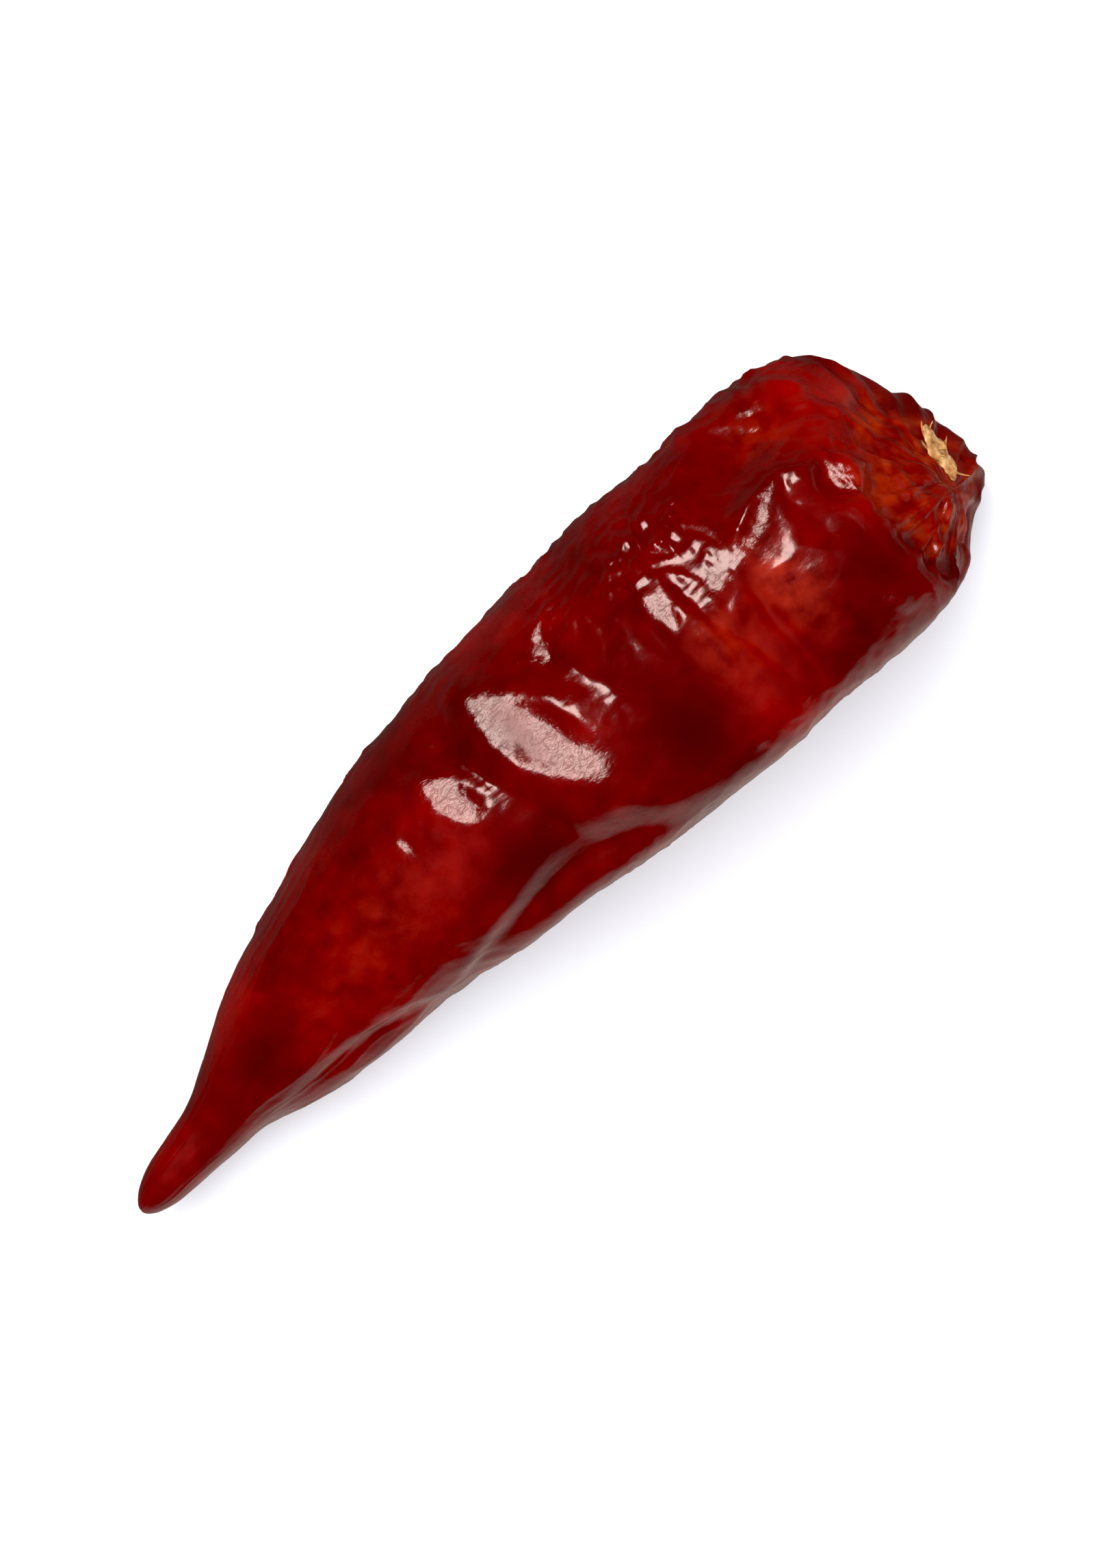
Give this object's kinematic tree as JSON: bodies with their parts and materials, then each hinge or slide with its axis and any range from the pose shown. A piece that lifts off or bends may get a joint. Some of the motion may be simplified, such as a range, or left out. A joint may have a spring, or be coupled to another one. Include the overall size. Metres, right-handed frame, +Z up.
{
  "type": "dried chilli pepper",
  "caption": "Small whole dried red chilli with glossy wrinkled skin, its stem and cap pulled off, lying on its side.",
  "frame": {"origin": "bottom centre of the bounding box, on the surface that the pod lies on", "axes": "+X along the pod from its pointed tip to its blunt stem end, +Z up from the surface, +Y across the pod"},
  "size_m": [0.0407, 0.0114, 0.0098],
  "materials": {
    "chilli_skin": "gloss",
    "chilli_pith": "matte"
  },
  "bodies": {
    "root": {"pod": "chilli_skin", "pith_shred": "chilli_pith"}
  },
  "joints": []
}
